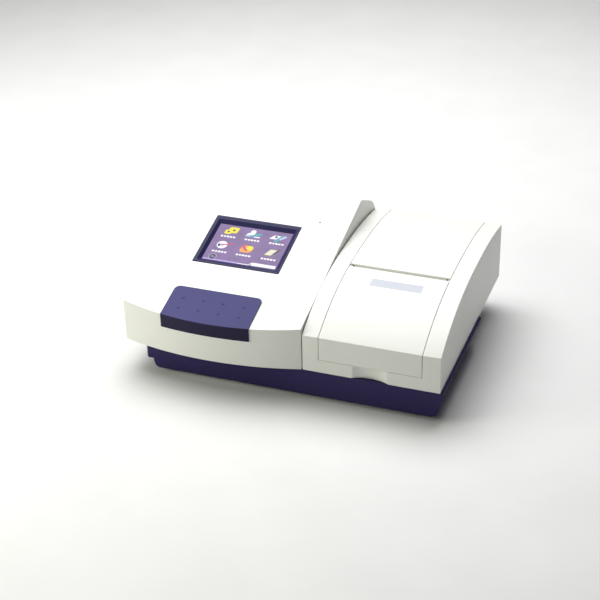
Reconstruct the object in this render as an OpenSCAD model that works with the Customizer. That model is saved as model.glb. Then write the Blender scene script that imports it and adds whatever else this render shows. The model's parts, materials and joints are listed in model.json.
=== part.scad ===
// Bench plate spectrophotometer: touch-screen console on the left, measuring section with a
// hinged chamber lid on the right, both standing on a smaller dark base tub.
// Frame: origin on the table under the middle of the whole instrument, +Z up, -Y towards the
// user, +X to the user's right. Modules below work in a corner frame: x from the console's
// left wall, y from the measuring section's front face, z from the table.

/* [Overall] */
// Width over both shells
body_w = 480; // [478:1:484]
// Depth of the measuring section from front face to rear wall
body_d = 357; // [356:1:360]
// Height of the shells' bottom edge over the table
base_h = 48; // [46:1:52]
// Wall thickness of the moulded shells
wall = 3; // [2.8:0.1:3.2]

/* [Console] */
// Width of the console
console_w = 276; // [275.5:0.5:276.5]
// Height of the console's front edge over the shells' bottom edge
console_front_h = 66; // [64:1:70]
// Slope of the console's top in degrees
top_slope = 14.7; // [14:0.1:15.5]
// Forward bow of the console's front face
bow = 20; // [14:1:24]
// Depth of the ridge behind the section's front face
ridge_y = 279; // [276:1:282]
// Fall of the console's back in degrees
back_slope = 25; // [23:1:27]

/* [Measuring section] */
// Height of the crown over the shells' bottom edge
crown_h = 104; // [103:1:108]
// Fall of the crown down to the front edge
front_drop = 47; // [44:1:48]
// Fall of the crown down to the rear edge
rear_drop = 13; // [10:1:14]
// Width of the chamber lid
lid_w = 152; // [150:1:153]
// Distance from the section's right wall to the lid
right_strip = 26.5; // [26:0.5:27]

/* [Plate drive] */
// Length of the carrier's nest, for a 127.76 mm plate
nest_l = 128.6; // [128.4:0.1:129]
// Width of the carrier's nest, for an 85.48 mm plate
nest_w = 86.3; // [86:0.1:86.6]
// Diameter of the guide rods
rod_d = 8; // [7:0.5:8]
// Pitch of the eight measuring channels
channel_pitch = 9; // [9:0.1:9.1]

/* [Hidden] */
$fn = 64;

eps = 0.01;
fit = 0.05;
clear = 0.3;
rim = 4.4;
console_r = (console_w * console_w / 4 + bow * bow) / (2 * bow);
seam = 1.6;
section_x = console_w + seam;
rear_corner_r = 10;
pad_t = 1.4;

// Corner frame to the part's frame
module place() {
    front = bow + pad_t;
    translate([-(body_w + rim) / 2, front - (body_d + front) / 2, 0]) children();
}

module box(low, high) {
    translate(low) cube(high - low);
}

module bar_x(x0, x1, y, z, r) {
    translate([x0, y, z]) rotate([0, 90, 0]) cylinder(r = r, h = x1 - x0);
}

module bar_y(x, y0, y1, z, r) {
    translate([x, y0, z]) rotate([-90, 0, 0]) cylinder(r = r, h = y1 - y0);
}

module bar_z(x, y, z0, z1, r) {
    translate([x, y, z0]) cylinder(r = r, h = z1 - z0);
}

// Round bar between two points
module strut(p, q, r) {
    d = q - p;
    len = norm(d);
    translate(p) rotate([0, acos(d[2] / len), atan2(d[1], d[0])]) cylinder(r = r, h = len);
}

// Extrudes a (y, z) outline along x
module along_x(x0, x1) {
    translate([x0, 0, 0]) rotate([90, 0, 90]) linear_extrude(x1 - x0) children();
}

// Extrudes an (x, z) outline along y
module along_y(y0, y1) {
    translate([0, y1, 0]) rotate([90, 0, 0]) linear_extrude(y1 - y0) children();
}

function arc(c, r, a0, a1, n) =
    [for (i = [0:n]) c + r * [cos(a0 + (a1 - a0) * i / n), sin(a0 + (a1 - a0) * i / n)]];

// ---------- outline of the console ----------

ridge_r = 14;
shoulder_r = 55;
top_z = base_h + console_front_h;
top_n = [-sin(top_slope), cos(top_slope)];
back_n = [sin(back_slope), cos(back_slope)];
apex = [ridge_y, top_z + ridge_y * tan(top_slope)];
ridge_c = apex - ridge_r * (top_n + back_n) / (1 + top_n * back_n);
shoulder_y = body_d - shoulder_r;
shoulder_z = (back_n * apex - shoulder_r - back_n[0] * shoulder_y) / back_n[1];

// Side outline of the console, t inside its skin, down to z_low
function console_outline(t, z_low) = concat(
    [[-2 * bow, z_low], [-2 * bow, top_z - 2 * bow * tan(top_slope) - t / cos(top_slope)]],
    arc(ridge_c, ridge_r - t, 90 + top_slope, 90 - back_slope, 6),
    arc([shoulder_y, shoulder_z], shoulder_r - t, 90 - back_slope, 0, 8),
    [[body_d - t, z_low]]);

// Plan of the console with its bowed front and rounded rear left corner
module console_plan(t) {
    corner = rear_corner_r;
    intersection() {
        union() {
            translate([t, -2 * bow]) square([console_w - 2 * t, 2 * bow + body_d - corner]);
            translate([corner, 0]) square([console_w - t - corner, body_d - t]);
            translate([corner, body_d - corner]) circle(r = corner - t);
        }
        translate([console_w / 2, console_r - bow]) circle(r = console_r - t, $fn = 256);
    }
}

module console_solid(t, z_low) {
    intersection() {
        along_x(-2 * bow, console_w + 2 * bow) polygon(console_outline(t, z_low));
        translate([0, 0, z_low]) linear_extrude(300) console_plan(t);
    }
}

// Frame on the console's sloping top: x across, y up the slope, z out of the surface
module on_slope() {
    translate([0, 0, top_z]) rotate([top_slope, 0, 0]) children();
}

// ---------- outline of the measuring section ----------

crown_y = 232;
crown_power = 2.9;
curve_steps = 40;

// Height of the section's top over the table, and its steepness
function crown(y) = base_h + crown_h - front_drop * pow(max(0, 1 - y / crown_y), crown_power)
    - rear_drop * pow(max(0, (y - crown_y) / (body_d - crown_y)), 2);
function steep(y) = (crown(y + eps) - crown(y - eps)) / (2 * eps);

// Point of the top, t inside its skin
function crown_point(y, t) = [y, crown(y)] + t * [steep(y), -1] / norm([steep(y), 1]);

function section_outline(t, z_low) = concat(
    [[-2 * bow, z_low]],
    [for (i = [0:curve_steps]) crown_point(-12 + (body_d + 24) * i / curve_steps, t)],
    [[body_d + 2 * bow, z_low]]);

module section_solid(t, z_low) {
    intersection() {
        along_x(section_x + t, body_w - t) polygon(section_outline(t, z_low));
        box([section_x + t, t, z_low], [body_w - t, body_d - t, 400]);
    }
}

// Skin of the section between two depths
module section_skin(t0, t1) {
    difference() {
        section_solid(t0, base_h);
        section_solid(t1, base_h - 1);
    }
}

// ---------- shared places ----------

lid_x1 = body_w - right_strip;
lid_x0 = lid_x1 - lid_w;
mid_x = (lid_x0 + lid_x1) / 2;
lid_gap = 0.6;
lid_t = 2.6;
skirt_z = base_h + 20.7;
hinge_y = 138.6;
bead_r = 3;
hinge_z = crown(hinge_y) - bead_r;
hinge_pin_r = 1.5;
groove = 7.6;
cover_lip_z = base_h + 78;

// ---------- base ----------

base_x0 = 30.5;
base_y0 = 1;
base_y1 = 224;
base_right = body_w + rim;
tier_z = 21;
floor_z = 4.3;
tier_in = 12;
front_r = 4.5;
fascia_t = 5;
fascia_lean = 17;
fascia_end_r = 15;
fascia_end_z = base_h - 6;
side_lean = 31.5;
side_end_r = 11;
side_end_z = base_h - 2;
side_x1 = body_w - 0.5;
flange_w = 9;
flange_t = 2.5;
screw_x = [base_x0 + 7, 452];
screw_y = [36, 116, base_y1 - 6];

// Plan rectangle with rounded corners
module rounded(x0, y0, x1, y1, r) {
    translate([x0 + r, y0]) square([x1 - x0 - 2 * r, y1 - y0]);
    translate([x0, y0 + r]) square([x1 - x0, y1 - y0 - 2 * r]);
    for (x = [x0 + r, x1 - r], y = [y0 + r, y1 - r]) translate([x, y]) circle(r = r);
}

// Middle of the rounding where a right end leaning in from (edge, z_edge) meets the bottom
function heel(edge, z_edge, lean, r) =
    edge - (z_edge - floor_z - r * (1 - sin(lean))) * tan(lean) - r * cos(lean);

// Front outline of the tub (x, z), t inside its skin: a step at the left end, and a right end
// that leans in from the edge at z_edge, round at the bottom
function tub_front(t, z_top, edge, z_edge, lean, r) = concat(
    [[base_x0 + t, z_top], [base_x0 + t, tier_z + 2 + t], [base_x0 + 2 + t, tier_z + t],
     [base_x0 + tier_in - 1 + t, tier_z + t]],
    arc([base_x0 + tier_in + 12, floor_z + 12], 12 - t, 190, 270, 5),
    arc([heel(edge, z_edge, lean, r), floor_z + r], r - t, 270, 360 - lean, 5),
    [[edge - t, z_edge], [edge - t, z_top]]);

// Side outline of the tub (y, z), t inside its skin: nearly flush in front, stepped at the back
function tub_side(t, z_top) = concat(
    [[base_y0 + t, z_top]],
    arc([base_y0 + front_r, floor_z + front_r], front_r - t, 180, 270, 4),
    arc([base_y1 - tier_in - 8, floor_z + 8], 8 - t, 270, 360, 5),
    [[base_y1 - tier_in - t, tier_z + t], [base_y1 - 2 - t, tier_z + t],
     [base_y1 - t, tier_z + 2 + t], [base_y1 - t, z_top]]);

module tub_solid(t, z_top) {
    intersection() {
        linear_extrude(z_top)
            rounded(base_x0 + t, base_y0 + t, body_w - t, base_y1 - t, 8 - t);
        along_y(base_y0, base_y1)
            polygon(tub_front(t, z_top, side_x1, side_end_z, side_lean, side_end_r));
        along_x(base_x0, body_w) polygon(tub_side(t, z_top));
    }
}

// Front wall, wider at the right than the tub behind it
module tub_fascia() {
    intersection() {
        linear_extrude(base_h) rounded(base_x0, base_y0, base_right, base_y1, front_r);
        along_y(base_y0, base_y0 + fascia_t)
            polygon(tub_front(0, base_h, base_right, fascia_end_z, fascia_lean, fascia_end_r));
        along_x(base_x0, base_right) polygon(tub_side(0, base_h));
    }
}

module base_tub() {
    color("#2b2148") place() difference() {
        union() {
            difference() {
                tub_solid(0, base_h);
                tub_solid(wall, base_h + 1);
            }
            tub_fascia();
            // flange that carries the two shells
            difference() {
                translate([0, 0, base_h - flange_t]) linear_extrude(flange_t)
                    rounded(base_x0, base_y0, base_right, base_y1, front_r);
                box([base_x0 + flange_w, base_y0 + flange_w, floor_z],
                    [body_w - flange_w, base_y1 - flange_w, base_h + 1]);
            }
            intersection() {
                for (x = screw_x, y = screw_y) bar_z(x, y, floor_z, base_h, 6.5);
                tub_solid(0, base_h);
            }
        }
        for (x = screw_x, y = screw_y) {
            bar_z(x, y, tier_z - 1, base_h + 1, 2 + fit);
            bar_z(x, y, 0, tier_z, 4.2);
        }
    }
}

foot_x = [80, 432];
foot_y = [32, 192];

module rubber_feet() {
    color("#17161a") place() for (x = foot_x, y = foot_y) {
        bar_z(x, y, 1.2, floor_z, 10);
        bar_z(x, y, 0, 1.2, 9);
    }
}

// Pan-head screw pointing up, head under z
module screw(x, y, z, len) {
    difference() {
        union() {
            bar_z(x, y, z - 2.2, z, 3.6);
            bar_z(x, y, z - eps, z + len, 2);
        }
        translate([x, y, z - 2.2]) for (a = [0, 90])
            rotate(a) cube([3.6, 0.8, 2.2], center = true);
    }
}

module base_screws() {
    color("silver") place() for (x = screw_x, y = screw_y)
        screw(x, y, tier_z, base_h + 2 - tier_z);
}

passage_y = [150, 210];
rear_screw_y = 338;
rear_screw_x = [15, 264, 294, 462];
plate_t = 2;
deck_z = base_h + plate_t;

module chassis_plate() {
    color("#b9bcc0") place() difference() {
        intersection() {
            translate([0, 0, base_h]) linear_extrude(plate_t) union() {
                console_plan(wall + clear);
                translate([console_w - wall - 1, wall + clear])
                    square([body_w - console_w, body_d - 2 * (wall + clear)]);
            }
            box([0, -bow, base_h], [body_w - wall - clear, body_d, deck_z]);
        }
        scoop_cylinder(scoop_r + wall + clear, base_h - 1, deck_z + 1);
        // slots for the two shells' inner walls
        box([console_w - wall - clear, -bow, base_h - 1],
            [section_x + wall + clear, passage_y[0], deck_z + 1]);
        box([console_w - wall - clear, passage_y[1], base_h - 1],
            [section_x + wall + clear, body_d, deck_z + 1]);
        for (x = screw_x, y = screw_y) bar_z(x, y, base_h - 1, deck_z + 1, 2 + fit);
        for (x = rear_screw_x) bar_z(x, rear_screw_y, base_h - 1, deck_z + 1, 2 + fit);
    }
}

module shell_screws() {
    color("silver") place() for (x = rear_screw_x)
        screw(x, rear_screw_y, base_h, 12);
}

// Screw boss on a shell's rear wall
module rear_boss(x) {
    difference() {
        union() {
            bar_z(x, rear_screw_y, deck_z, deck_z + 16, 5);
            box([x - 1.5, rear_screw_y + 3, deck_z], [x + 1.5, body_d - wall + 0.5, deck_z + 16]);
        }
        bar_z(x, rear_screw_y, deck_z - 1, deck_z + 12, 2 + fit);
    }
}

// Passage in the inner walls over the chassis bridge
module wall_passage(x) {
    box([x - wall - 2, passage_y[0] - clear, base_h - 1],
        [x + wall + 2, passage_y[1] + clear, deck_z + 20]);
}

// ---------- console ----------

bezel_x0 = 68.4;
bezel_w = 138;
bezel_s0 = 101.3;
bezel_l = 107.2;
bezel_up = 1.2;
window_w = 118.6;
window_l = 81.5;
screen_down = 4.6;
bezel_mid = [bezel_x0 + bezel_w / 2, bezel_s0 + bezel_l / 2];
led_at = [229.6, 225];
panel_x0 = 28;
panel_x1 = 252;
panel_z0 = base_h + 6;
panel_z1 = base_h + 60;
vent_columns = 6;
vent_rows = 4;
vent_pitch = 31.9;
vent_row_pitch = 11;
vent_l = 15;
vent_w = 3.4;
vent_mid = console_w / 2 + 4.3;

// Obround slots through the console's back
module vents() {
    x_first = vent_mid - vent_pitch * (vent_columns - 1) / 2;
    translate([0, apex[0], apex[1]]) rotate([-back_slope, 0, 0])
        for (i = [0:vent_columns - 1], j = [0:vent_rows - 1])
            translate([x_first + i * vent_pitch, 4 + j * vent_row_pitch, -wall - 3]) {
                translate([-vent_l / 2, -vent_w / 2, 0]) cube([vent_l, vent_w, wall + 8]);
                for (x = [-vent_l / 2, vent_l / 2])
                    translate([x, 0, 0]) cylinder(r = vent_w / 2, h = wall + 8);
            }
}

module console_shell() {
    color("#f1f1ec") place() {
        difference() {
            console_solid(0, base_h);
            console_solid(wall, base_h - 1);
            on_slope() box([bezel_x0 + 2, bezel_s0 + 2, -8],
                [bezel_x0 + bezel_w - 2, bezel_s0 + bezel_l - 2, 8]);
            on_slope() translate([led_at[0], led_at[1], -8]) cylinder(r = 1.6, h = 16);
            box([panel_x0, body_d - wall - 1, panel_z0], [panel_x1, body_d + 1, panel_z1]);
            vents();
            wall_passage(console_w);
        }
        for (x = [rear_screw_x[0], rear_screw_x[1]]) rear_boss(x);
    }
}

pad_x0 = 66.2;
pad_w = 137.3;
pad_back_s = 46;
pad_z0 = base_h + 41.7;
dimple_pitch = 31.3;
dimple_r = 2.6;
dimple_s = [0.9, 21.9];

// Elastomer pad over the console's front edge, with two rows of four dimples
module front_pad() {
    color("#5a5590") place() difference() {
        intersection() {
            console_solid(-pad_t, base_h);
            box([pad_x0, -2 * bow, pad_z0], [pad_x0 + pad_w, 100, 300]);
            on_slope() translate([0, 0, -60]) linear_extrude(80) union() {
                translate([pad_x0, -3 * bow]) square([pad_w, 3 * bow + pad_back_s - 9]);
                translate([pad_x0 + 9, 0]) square([pad_w - 18, pad_back_s]);
                for (x = [pad_x0 + 9, pad_x0 + pad_w - 9])
                    translate([x, pad_back_s - 9]) circle(r = 9);
            }
        }
        console_solid(0, base_h - 1);
        on_slope() for (i = [-1.5:1:1.5], s = dimple_s)
            translate([console_w / 2 - 3 + i * dimple_pitch, s, pad_t + 1.5])
                sphere(r = dimple_r);
    }
}

// Block with walls slanting from one size down to another, on the slope
module funnel(w0, l0, w1, l1, z0, z1) {
    intersection() {
        translate([0, l1, 0]) rotate([90, 0, 0]) linear_extrude(2 * l1) polygon([
            [-w0 / 2, z0], [w0 / 2, z0], [w1 / 2, z1], [-w1 / 2, z1]]);
        translate([-w1, 0, 0]) rotate([90, 0, 90]) linear_extrude(2 * w1) polygon([
            [-l0 / 2, z0], [l0 / 2, z0], [l1 / 2, z1], [-l1 / 2, z1]]);
    }
}

module display_bezel() {
    color("#3c3765") place() on_slope() translate([bezel_mid[0], bezel_mid[1], 0])
        difference() {
            union() {
                box([-bezel_w / 2, -bezel_l / 2, 0], [bezel_w / 2, bezel_l / 2, bezel_up]);
                box([2.3 - bezel_w / 2, 2.3 - bezel_l / 2, -8],
                    [bezel_w / 2 - 2.3, bezel_l / 2 - 2.3, eps]);
            }
            funnel(window_w, window_l, bezel_w - 10, bezel_l - 10,
                -screen_down, bezel_up + eps);
            box([-window_w / 2, -window_l / 2, -9], [window_w / 2, window_l / 2, 1]);
            box([-window_w / 2 - 3, -window_l / 2 - 3, -9],
                [window_w / 2 + 3, window_l / 2 + 3, -screen_down]);
        }
}

// Flat plate behind the bezel's window
module behind_window(grow, z0, z1) {
    place() on_slope() translate([bezel_mid[0], bezel_mid[1], 0])
        box([-window_w / 2 - grow, -window_l / 2 - grow, z0],
            [window_w / 2 + grow, window_l / 2 + grow, z1]);
}

module touch_panel() {
    color("#96709f") behind_window(2.7, -screen_down - 1.8, -screen_down);
}

module lcd_module() {
    color("#5d6068") behind_window(2.5, -screen_down - 8, -screen_down - 1.8);
}

module display_board() {
    color("#1f6b3a") behind_window(2.5, -screen_down - 10, -screen_down - 8.4);
}

module status_led() {
    color("#7fb26a") place() on_slope() translate([led_at[0], led_at[1], 0]) {
        translate([0, 0, -7]) cylinder(r = 1.55, h = 7);
        difference() {
            sphere(r = 1.5);
            translate([-2, -2, -4]) cube([4, 4, 4 - eps]);
        }
    }
}

// ---------- measuring section ----------

scoop_w = 55;
scoop_deep = 6.5;
scoop_r = (scoop_w * scoop_w / 4 + scoop_deep * scoop_deep) / (2 * scoop_deep);
ledge_t = 2.2;

module scoop_cylinder(r, z0, z1) {
    bar_z(mid_x, scoop_deep - scoop_r, z0, z1, r);
}

// Hinge lug under one side strip
module hinge_lug(x0, x1) {
    box([x0, hinge_y - 6, hinge_z - 10], [x1, hinge_y + 7, hinge_z + 1.5]);
}

module chamber_housing() {
    color("#eeeee9") place() difference() {
        union() {
            difference() {
                section_solid(0, base_h);
                section_solid(wall, base_h - 1);
                box([lid_x0, -1, skirt_z], [lid_x1, body_d / 2, 300]);
                box([lid_x0, body_d / 2, cover_lip_z], [lid_x1, body_d + 1, 300]);
            }
            // ledges under the side edges of lid and cover
            intersection() {
                difference() {
                    section_solid(wall - eps, base_h);
                    section_solid(wall + ledge_t, base_h - 1);
                }
                union() {
                    box([lid_x0 - 5, 0, skirt_z - 6], [lid_x0 + 4, body_d, 300]);
                    box([lid_x1 - 4, 0, skirt_z - 6], [lid_x1 + 5, body_d, 300]);
                }
            }
            intersection() {
                scoop_cylinder(scoop_r + wall, base_h, skirt_z);
                box([mid_x - scoop_w, 0, base_h], [mid_x + scoop_w, 30, skirt_z]);
            }
            hinge_lug(lid_x0 - 9, lid_x0);
            hinge_lug(lid_x1, lid_x1 + 9);
            box([lid_x0 - 1, hinge_y - 4, hinge_z - 10],
                [lid_x1 + 1, hinge_y + 7, hinge_z - bead_r - 1]);
            for (x = [rear_screw_x[2], rear_screw_x[3]]) rear_boss(x);
        }
        scoop_cylinder(scoop_r, base_h - 1, skirt_z + 1);
        bar_x(lid_x0 - 7, lid_x0 + 1, hinge_y, hinge_z, hinge_pin_r + fit);
        bar_x(lid_x1 - 1, lid_x1 + 7, hinge_y, hinge_z, hinge_pin_r + fit);
        bar_x(lid_x0, lid_x1, hinge_y, hinge_z, bead_r + 0.5);
        wall_passage(section_x);
    }
}

module chamber_lid() {
    color("#f0f0eb") place() difference() {
        union() {
            intersection() {
                section_skin(0, lid_t);
                box([lid_x0 + lid_gap, -1, skirt_z + 0.4], [lid_x1 - lid_gap, hinge_y, 300]);
            }
            // stiffening ribs inside the two sides and at the front
            intersection() {
                section_skin(lid_t - eps, lid_t + 4);
                union() {
                    for (x = [lid_x0 + 5.5, lid_x1 - 7])
                        box([x, 0, skirt_z + 6], [x + 1.5, hinge_y - 8, 300]);
                    box([lid_x0 + 5.5, 0, skirt_z + 10], [lid_x1 - 5.5, 20, skirt_z + 11.5]);
                }
            }
            bar_x(lid_x0 + lid_gap, lid_x1 - lid_gap, hinge_y, hinge_z, bead_r);
        }
        bar_x(lid_x0, lid_x0 + 8, hinge_y, hinge_z, hinge_pin_r + fit);
        bar_x(lid_x1 - 8, lid_x1, hinge_y, hinge_z, hinge_pin_r + fit);
    }
}

module lid_hinge_pins() {
    color("silver") place() {
        bar_x(lid_x0 - 6.5, lid_x0 + 7.5, hinge_y, hinge_z, hinge_pin_r);
        bar_x(lid_x1 - 7.5, lid_x1 + 6.5, hinge_y, hinge_z, hinge_pin_r);
    }
}

module optics_cover() {
    color("#efefea") place() {
        intersection() {
            section_skin(0, lid_t);
            box([lid_x0 + lid_gap, hinge_y + groove, cover_lip_z + 0.5],
                [lid_x1 - lid_gap, body_d, 300]);
        }
        box([lid_x0 + 6, hinge_y + groove, hinge_z - bead_r - 1],
            [lid_x1 - 6, hinge_y + groove + 2, crown(hinge_y + groove) - 1]);
        // floor of the groove behind the lid
        box([lid_x0 + 6, hinge_y + bead_r + 0.7, hinge_z - 3],
            [lid_x1 - 6, hinge_y + groove + 1, hinge_z - 1.3]);
    }
}

// ---------- plate drive ----------

liner_w = 136;
rod_off = 46.5;
rod_z = deck_z + 13;
rod_x = [mid_x - rod_off, mid_x + rod_off];
rod_y0 = 14;
rod_y1 = 292;
bush_r = 6.5;
carrier_y0 = 13;
carrier_z0 = deck_z + 21;
carrier_z1 = carrier_z0 + 3;
carrier_wall = 3.7;
carrier_w = 106;
carrier_y1 = carrier_y0 + nest_l + 2 * carrier_wall;
bush_y = [24, 118];
bush_l = 20;
belt_x0 = mid_x - 63;
belt_w = 6;
pulley_r = 8;
pulley_z = deck_z + 14;
pulley_y = [26, 296];
belt_gap = 0.35;
belt_t = 1.4;
clamp_y = [70, 86];

module chamber_liner() {
    x0 = mid_x - liner_w / 2;
    x1 = mid_x + liner_w / 2;
    color("#1c1c20") place() difference() {
        box([x0 - 2, 10.5, deck_z], [x1 + 2, 146, deck_z + 40]);
        box([x0, 11.9, deck_z + 1.6], [x1, 147, deck_z + 41]);
    }
}

module guide_rods() {
    color("silver") place() for (x = rod_x) bar_y(x, rod_y0, rod_y1, rod_z, rod_d / 2);
}

module rod_blocks() {
    color("#8d9095") place() for (x = rod_x, y = [rod_y0, rod_y1 - 6])
        difference() {
            box([x - 7.5, y, deck_z + (y < 100 ? 1.6 : 0)], [x + 7.5, y + 6, rod_z + 6.5]);
            bar_y(x, y - 1, y + 7, rod_z, rod_d / 2 + fit);
        }
}

module plate_carrier() {
    half = carrier_w / 2;
    ledge = 7;
    color("#2a2a30") place() difference() {
        union() {
            box([mid_x - half, carrier_y0, carrier_z0], [mid_x + half, carrier_y1, carrier_z1]);
            box([mid_x - nest_w / 2 - carrier_wall, carrier_y0, carrier_z0],
                [mid_x + nest_w / 2 + carrier_wall, carrier_y1, carrier_z1 + 7]);
            for (x = rod_x, y = bush_y)
                box([x - 8, y, rod_z - 8], [x + 8, y + bush_l, carrier_z0 + eps]);
            box([belt_x0 - 2, clamp_y[0], pulley_z + pulley_r - 4],
                [mid_x - half + 1, clamp_y[1], pulley_z + pulley_r + 5]);
        }
        box([mid_x - nest_w / 2, carrier_y0 + carrier_wall, carrier_z1],
            [mid_x + nest_w / 2, carrier_y1 - carrier_wall, carrier_z1 + 8]);
        box([mid_x - nest_w / 2 + ledge, carrier_y0 + carrier_wall + ledge, carrier_z0 - 1],
            [mid_x + nest_w / 2 - ledge, carrier_y1 - carrier_wall - ledge, carrier_z1 + 1]);
        // finger notches at both long sides
        box([mid_x - half - 1, 70, carrier_z1 + 1], [mid_x + half + 1, 92, carrier_z1 + 8]);
        for (x = rod_x) bar_y(x, carrier_y0, carrier_y1, rod_z, bush_r + fit);
        box([belt_x0 - 0.4, clamp_y[0] - 1, pulley_z + pulley_r - 0.1],
            [belt_x0 + belt_w + 0.4, clamp_y[1] + 1, pulley_z + pulley_r + belt_t + 0.8]);
    }
}

module carrier_bushes() {
    color("#c79a4b") place() for (x = rod_x, y = bush_y) difference() {
        bar_y(x, y, y + bush_l, rod_z, bush_r);
        bar_y(x, y - 1, y + bush_l + 1, rod_z, rod_d / 2 + fit);
    }
}

// Loop outline around both pulleys in (y, z)
module belt_loop(r) {
    for (y = pulley_y) translate([y, pulley_z]) circle(r = r);
    translate([pulley_y[0], pulley_z - r]) square([pulley_y[1] - pulley_y[0], 2 * r]);
}

module drive_belt() {
    color("#202024") place() along_x(belt_x0, belt_x0 + belt_w) difference() {
        belt_loop(pulley_r + belt_gap + belt_t);
        belt_loop(pulley_r + belt_gap);
    }
}

motor_size = 27.6;

module drive_motor() {
    x0 = section_x + wall + 1;
    x1 = belt_x0 - 3;
    h = motor_size / 2;
    color("#3a3b40") place() difference() {
        union() {
            box([x0, pulley_y[1] - h, pulley_z - h], [x1 - 2, pulley_y[1] + h, pulley_z + h]);
            bar_x(x1 - 2 - eps, x1, pulley_y[1], pulley_z, 9);
        }
        bar_x(x1 - 24, x1 + 1, pulley_y[1], pulley_z, 2.5 + fit);
    }
}

module motor_shaft() {
    color("silver") place()
        bar_x(belt_x0 - 25, belt_x0 + belt_w + 1, pulley_y[1], pulley_z, 2.5);
}

// Toothless timing pulley with two flanges
module pulley(y, bore) {
    difference() {
        union() {
            bar_x(belt_x0 - 0.4, belt_x0 + belt_w + 0.4, y, pulley_z, pulley_r);
            for (x = [belt_x0 - 1.4, belt_x0 + belt_w + 0.4])
                bar_x(x, x + 1, y, pulley_z, pulley_r + 1.2);
        }
        bar_x(belt_x0 - 3, belt_x0 + belt_w + 3, y, pulley_z, bore);
    }
}

module drive_pulley() {
    color("#c9ccd1") place() pulley(pulley_y[1], 2.5);
}

module idler_pulley() {
    color("#c9ccd1") place() pulley(pulley_y[0], 2.5);
}

module idler_bracket() {
    y = pulley_y[0];
    x1 = belt_x0 - 2;
    color("#8d9095") place() difference() {
        union() {
            box([x1 - 2.4, y - 8, deck_z + 1.6], [x1, y + 8, pulley_z + 8]);
            box([x1 - 2.4, y - 8, deck_z + 1.6], [x1 + 7, y + 8, deck_z + 3]);
        }
        bar_x(x1 - 4, x1 + 1, y, pulley_z, 2.45 + fit);
    }
}

module idler_pin() {
    color("silver") place()
        bar_x(belt_x0 - 4.4, belt_x0 + belt_w + 2, pulley_y[0], pulley_z, 2.45);
}

// Slotted light barrier that finds the carrier's rest place
module home_sensor() {
    x = mid_x + 60;
    color("#1d1d20") place() difference() {
        box([x - 5, 100, deck_z + 1.6], [x + 5, 112, deck_z + 14]);
        box([x - 1.5, 99, deck_z + 6], [x + 1.5, 113, deck_z + 15]);
    }
}

// ---------- optics ----------

bridge_z = deck_z + 44;
bridge_t = 3;
bench_z = bridge_z + bridge_t;
bridge_y = [158, 346];
post_x = [section_x + wall + 6, body_w - wall - 6];
post_y = [164, 322];
read_y = 168;
axis_x = mid_x + 11;
axis_z = bench_z + 24;
wheel_x = axis_x + 16;
wheel_r = 22.5;
wheel_y = [282, 286];
filter_r = 4.5;
filters = 6;
channels = 8;
function channel_x(i) = mid_x + (i - (channels - 1) / 2) * channel_pitch;

module optics_bridge() {
    color("#a9adb3") place() difference() {
        box([section_x + wall + 1, bridge_y[0], bridge_z],
            [body_w - wall - 1, bridge_y[1], bench_z]);
        box([mid_x - 36, read_y - 5, bridge_z - 1], [mid_x + 36, read_y + 5, bench_z + 1]);
        for (x = post_x, y = post_y) bar_z(x, y, bridge_z - 1, bench_z + 1, 2 + fit);
    }
}

module bridge_posts() {
    color("#c4c7cc") place() for (x = post_x, y = post_y) {
        bar_z(x, y, deck_z, bridge_z, 4.5);
        bar_z(x, y, bridge_z - eps, bench_z + 1.5, 2);
    }
}

module optical_head() {
    color("#26262b") place() difference() {
        box([mid_x - 41, read_y - 8, bench_z], [mid_x + 41, read_y + 8, bench_z + 14]);
        for (i = [0:channels - 1])
            bar_z(channel_x(i), read_y, bench_z - 1, bench_z + 9, 2.5 + fit);
    }
}

module head_lenses() {
    color("#bcd7e6") place() for (i = [0:channels - 1])
        bar_z(channel_x(i), read_y, bench_z + 1, bench_z + 4, 2.5);
}

// Eight light fibres fanning out from one ferrule to the head
module fibre_bundle() {
    fibre_r = 1;
    head_top = bench_z + 14;
    color("#d08a2e") place() {
        bar_y(axis_x, 258, 279, axis_z, 3);
        for (i = [0:channels - 1]) {
            turn = [channel_x(i), read_y, head_top + 11];
            strut([axis_x + (i - (channels - 1) / 2) * 0.5, 259, axis_z], turn, fibre_r);
            strut(turn, [channel_x(i), read_y, head_top], fibre_r);
            translate(turn) sphere(r = fibre_r * 1.1);
            bar_z(channel_x(i), read_y, head_top, head_top + 4, 2);
        }
    }
}

module bundle_holder() {
    color("#8d9095") place() difference() {
        box([axis_x - 6, 266, bench_z], [axis_x + 5, 275, axis_z + 6]);
        bar_y(axis_x, 265, 276, axis_z, 3 + fit);
    }
}

lamp_half = 15;
lamp_y = [298, 336];

module lamp_housing() {
    h = lamp_half;
    color("#55585e") place() difference() {
        box([axis_x - h, lamp_y[0], bench_z], [axis_x + h, lamp_y[1], axis_z + h + 2]);
        box([axis_x - h + 2, lamp_y[0] + 2, bench_z + 2],
            [axis_x + h - 2, lamp_y[1] - 2, axis_z + h]);
        bar_y(axis_x, lamp_y[0] - 1, lamp_y[0] + 3, axis_z, 7);
        for (i = [0:4])
            box([axis_x - h + 4, lamp_y[0] + 6 + i * 6, axis_z + h - 1],
                [axis_x + h - 4, lamp_y[0] + 9 + i * 6, axis_z + h + 3]);
    }
}

module halogen_lamp() {
    color("#e9e3cf") place() {
        bar_y(axis_x, 324, lamp_y[1] - 2, axis_z, 6);
        bar_y(axis_x, 312, 324 + eps, axis_z, 4.2);
        translate([axis_x, 312, axis_z]) sphere(r = 4.2);
    }
}

module condenser_tube() {
    color("#2b2c31") place() difference() {
        bar_y(axis_x, 289, lamp_y[0], axis_z, 9);
        bar_y(axis_x, 288, lamp_y[0] + 1, axis_z, 7 + fit);
    }
}

module condenser_lens() {
    color("#cfe3ee") place() bar_y(axis_x, 291, 295, axis_z, 7);
}

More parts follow.
